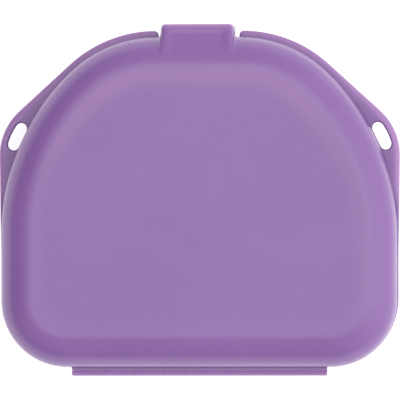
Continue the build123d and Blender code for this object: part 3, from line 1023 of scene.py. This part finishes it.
# ------------------------------------------------------------------ materials
def plastic(name, low, high, rough, grain, lighten, panel=None):
    """Moulded polypropylene: a satin spark-eroded skin, faint flow clouding, softened edges, with painted light and
    painted shade in seams.
    """
    mat = bpy.data.materials.new(name)
    mat.use_nodes = True
    tree = mat.node_tree
    nodes, links = tree.nodes, tree.links
    shader = nodes["Principled BSDF"]
    where = nodes.new("ShaderNodeTexCoord")

    def noise(scale, detail, roughness=0.5, distortion=0.0):
        node = nodes.new("ShaderNodeTexNoise")
        node.inputs["Scale"].default_value = scale
        node.inputs["Detail"].default_value = detail
        node.inputs["Roughness"].default_value = roughness
        node.inputs["Distortion"].default_value = distortion
        links.new(where.outputs["Object"], node.inputs["Vector"])
        return node

    def spread(source, a, b, c, d):
        node = nodes.new("ShaderNodeMapRange")
        node.inputs["From Min"].default_value = a
        node.inputs["From Max"].default_value = b
        node.inputs["To Min"].default_value = c
        node.inputs["To Max"].default_value = d
        links.new(source, node.inputs["Value"])
        return node.outputs["Result"]

    cloud = noise(38.0, 3.0, 0.55, 0.6)
    mottle = noise(420.0, 2.0)
    mix = nodes.new("ShaderNodeMath")
    mix.operation = "MULTIPLY_ADD"
    links.new(mottle.outputs["Fac"], mix.inputs[0])
    mix.inputs[1].default_value = 0.45
    links.new(spread(cloud.outputs["Fac"], 0.3, 0.7, 0.0, 0.55), mix.inputs[2])
    ramp = nodes.new("ShaderNodeValToRGB")
    ramp.color_ramp.elements[0].position = 0.12
    ramp.color_ramp.elements[0].color = (*low, 1)
    ramp.color_ramp.elements[1].position = 0.85
    ramp.color_ramp.elements[1].color = (*high, 1)
    links.new(mix.outputs["Value"], ramp.inputs["Fac"])

    worn = nodes.new("ShaderNodeAttribute")
    worn.attribute_name = "edge_wear"
    broken = nodes.new("ShaderNodeMath")
    broken.operation = "MULTIPLY"
    links.new(worn.outputs["Fac"], broken.inputs[0])
    links.new(spread(noise(260.0, 4.0, 0.65).outputs["Fac"], 0.35, 0.75, 0.25, 1.0), broken.inputs[1])
    pale = nodes.new("ShaderNodeMix")
    pale.data_type = "RGBA"
    pale.inputs["B"].default_value = (min(1, high[0] * 1.35 + 0.04), min(1, high[1] * 1.45 + 0.04), min(1, high[2] * 1.25 + 0.04), 1)
    strength = nodes.new("ShaderNodeMath")
    strength.operation = "MULTIPLY"
    strength.inputs[1].default_value = lighten
    links.new(broken.outputs["Value"], strength.inputs[0])
    links.new(strength.outputs["Value"], pale.inputs["Factor"])
    links.new(ramp.outputs["Color"], pale.inputs["A"])
    # painted light: where the per-point painted-light attribute is set, the colour is painted lighter and pinker,
    # standing in for highlights and light on thin edges
    thin = nodes.new("ShaderNodeAttribute")
    thin.attribute_name = "painted_light"
    light_share = nodes.new("ShaderNodeMath")
    light_share.operation = "MULTIPLY"
    light_share.inputs[1].default_value = 0.60
    links.new(thin.outputs["Fac"], light_share.inputs[0])
    lit = nodes.new("ShaderNodeMix")
    lit.data_type = "RGBA"
    lit.inputs["B"].default_value = (0.45, 0.22, 0.50, 1)
    links.new(light_share.outputs["Value"], lit.inputs["Factor"])
    links.new(pale.outputs["Result"], lit.inputs["A"])
    # painted shade: narrow seams and crevices, found by an ambient-occlusion node, are painted a deeper, darker purple;
    # the per-point painted-light attribute lifts points out of it, and below zero pushes them in
    crevice = nodes.new("ShaderNodeAmbientOcclusion")
    crevice.samples = 6
    crevice.inputs["Distance"].default_value = 0.0012
    seam_shade = nodes.new("ShaderNodeMix")
    seam_shade.data_type = "RGBA"
    seam_shade.inputs["A"].default_value = (low[0] * 0.68, low[1] * 0.48, low[2] * 0.74, 1)
    open_to_air = nodes.new("ShaderNodeMath")
    open_to_air.operation = "MULTIPLY_ADD"
    open_to_air.use_clamp = True
    open_to_air.inputs[1].default_value = 2.5
    links.new(thin.outputs["Fac"], open_to_air.inputs[0])
    links.new(spread(crevice.outputs["AO"], 0.35, 0.85, 0.0, 1.0), open_to_air.inputs[2])
    links.new(open_to_air.outputs["Value"], seam_shade.inputs["Factor"])
    links.new(lit.outputs["Result"], seam_shade.inputs["B"])
    links.new(seam_shade.outputs["Result"], shader.inputs["Base Color"])

    satin = noise(2600.0, 2.0, 0.6)
    links.new(spread(satin.outputs["Fac"], 0.25, 0.75, rough - 0.05, rough + 0.06), shader.inputs["Roughness"])
    # spark-eroded skin, about a third of a millimetre from bump to bump, over a faint flow waviness
    skin = noise(2900.0, 1.5, 0.5)
    wave = noise(95.0, 2.0, 0.45)
    lift = nodes.new("ShaderNodeMath")
    lift.operation = "MULTIPLY_ADD"
    links.new(wave.outputs["Fac"], lift.inputs[0])
    lift.inputs[1].default_value = 3.0
    links.new(skin.outputs["Fac"], lift.inputs[2])
    bump = nodes.new("ShaderNodeBump")
    bump.inputs["Strength"].default_value = grain
    bump.inputs["Distance"].default_value = 0.00002
    links.new(lift.outputs["Value"], bump.inputs["Height"])
    links.new(bump.outputs["Normal"], shader.inputs["Normal"])
    shader.inputs["IOR"].default_value = 1.49
    shader.inputs["Specular IOR Level"].default_value = 0.9
    return mat


PURPLE_LOW, PURPLE_HIGH = (0.206, 0.084, 0.320), (0.228, 0.095, 0.347)
case_mat = plastic("case_plastic", PURPLE_LOW, PURPLE_HIGH, 0.30, 0.40, 0.35)
hinge_mat = plastic("hinge_plastic", (0.252, 0.104, 0.362), (0.280, 0.117, 0.392), 0.28, 0.25, 0.30)

PIECES = {
    "lid": (lid, "lid", ["lid_shell"], case_mat, "case_plastic"),
    "base": (base, "base", ["base_tray"], case_mat, "case_plastic"),
    "strap": (strap, "strap", ["hinge_strap"], case_mat, "case_plastic"),
}
for piece, body, nodes_for, mat, slot in PIECES.values():
    piece.data.materials.append(mat)
    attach(piece, body)
    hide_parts(*nodes_for)
for piece, a, b, node, mat, slot, start, end in (
    (flap, "lid", "latch", "latch_flap", case_mat, "case_plastic", (0, TONGUE_Y * MM, 18.0 * MM), (0, TONGUE_Y * MM, 16.3 * MM)),
    (base_web, "base", "strap", "base_web", hinge_mat, "hinge_plastic", (0, LAND_Y * MM, (LAND_LOW_Z + 0.15) * MM), (0, (LAND_Y - WEB_R) * MM, low_c * MM)),
    (lid_web, "strap", "lid", "lid_web", hinge_mat, "hinge_plastic", (0, (LAND_Y - WEB_R) * MM, high_c * MM), (0, LAND_Y * MM, (LAND_HIGH_Z - 0.15) * MM)),
):
    piece.data.materials.append(mat)
    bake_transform(piece)
    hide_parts(node)

# ------------------------------------------------------------------ floor, light and camera
floor_mesh = bpy.data.meshes.new("floor")
floor_mesh.from_pydata([(-3, -3, 0), (3, -3, 0), (3, 3, 0), (-3, 3, 0)], [], [(0, 1, 2, 3)])
floor = bpy.data.objects.new("floor", floor_mesh)
bpy.context.scene.collection.objects.link(floor)
floor.location.z = -0.00002
floor_mat = bpy.data.materials.new("floor_white")
floor_mat.use_nodes = True
floor_shader = floor_mat.node_tree.nodes["Principled BSDF"]
floor_shader.inputs["Base Color"].default_value = (0.55, 0.55, 0.55, 1)
floor_shader.inputs["Roughness"].default_value = 0.9
floor_shader.inputs["Specular IOR Level"].default_value = 0.1
floor_shader.inputs["Emission Color"].default_value = (1, 1, 1, 1)
floor_shader.inputs["Emission Strength"].default_value = 0.69
floor_mesh.materials.append(floor_mat)

world = bpy.data.worlds.new("studio")
bpy.context.scene.world = world
world.use_nodes = True
sky, join = world.node_tree.nodes, world.node_tree.links
place = sky.new("ShaderNodeTexCoord")
total = None
# a pale room, brightest overhead and low to the right: (turn from +X, height, narrowness, strength)
LOBES = (
    (0, 90, 40, 1.340), (0, 68, 36, 1.480), (45, 68, 36, 0.850), (90, 68, 36, 0.720), (135, 68, 36, 0.900),
    (180, 68, 36, 0.282), (225, 68, 36, 0.060), (270, 68, 36, 0.080), (0, 42, 12, 0.950), (45, 42, 12, 0.350),
    (90, 42, 12, 0.211), (225, 42, 12, 0.300), (270, 42, 12, 0.290), (315, 42, 12, 0.500), (0, 10, 6, 0.826),
    (45, 10, 6, 0.500), (90, 10, 6, 0.340), (315, 10, 6, 0.397),
)
for turn, height, power, strength in LOBES:
    turn, height = math.radians(turn), math.radians(height)
    way = (math.cos(height) * math.cos(turn), math.cos(height) * math.sin(turn), math.sin(height))
    toward = sky.new("ShaderNodeVectorMath")
    toward.operation = "DOT_PRODUCT"
    toward.inputs[1].default_value = way
    join.new(place.outputs["Generated"], toward.inputs[0])
    above = sky.new("ShaderNodeMath")
    above.operation = "MAXIMUM"
    above.inputs[1].default_value = 0.0
    join.new(toward.outputs["Value"], above.inputs[0])
    lobe = sky.new("ShaderNodeMath")
    lobe.operation = "POWER"
    lobe.inputs[1].default_value = power
    join.new(above.outputs["Value"], lobe.inputs[0])
    part = sky.new("ShaderNodeMath")
    part.operation = "MULTIPLY_ADD"
    part.inputs[1].default_value = strength
    part.inputs[2].default_value = 0.419
    join.new(lobe.outputs["Value"], part.inputs[0])
    if total is not None:
        join.new(total.outputs["Value"], part.inputs[2])
    total = part
sky["Background"].inputs["Color"].default_value = (1, 1, 1, 1)
join.new(total.outputs["Value"], sky["Background"].inputs["Strength"])

camera_data = bpy.data.cameras.new("camera")
camera = bpy.data.objects.new("camera", camera_data)
bpy.context.scene.collection.objects.link(camera)
bpy.context.scene.camera = camera
FAR = 1.0  # metres
TILT_X, TILT_Y, ROLL = 2.4, 0.6, -0.15  # degrees: off straight down towards +X and +Y, and about the view
PX = 0.0002048  # metres per pixel at the height of the aim point
camera_data.sensor_width = 36
camera_data.lens = 36 * FAR / (400 * PX)
camera_data.clip_start, camera_data.clip_end = 0.05, 20
aim = Vector((0.000200, 0.000062, 0.0145))
tilt_x, tilt_y = math.radians(TILT_X), math.radians(TILT_Y)
back = Vector((math.sin(tilt_x) * math.cos(tilt_y), math.sin(tilt_y), math.cos(tilt_x) * math.cos(tilt_y)))
right = Vector((0, 1, 0)).cross(back).normalized()
camera.location = aim + back * FAR
camera.rotation_mode = "QUATERNION"
camera.rotation_quaternion = (
    Matrix((right, back.cross(right), back)).transposed().to_quaternion()
    @ Quaternion((0, 0, 1), math.radians(ROLL))
)

scene = bpy.context.scene
scene.view_settings.view_transform = "Standard"
scene.view_settings.look = "None"
scene.view_settings.exposure = 0.0
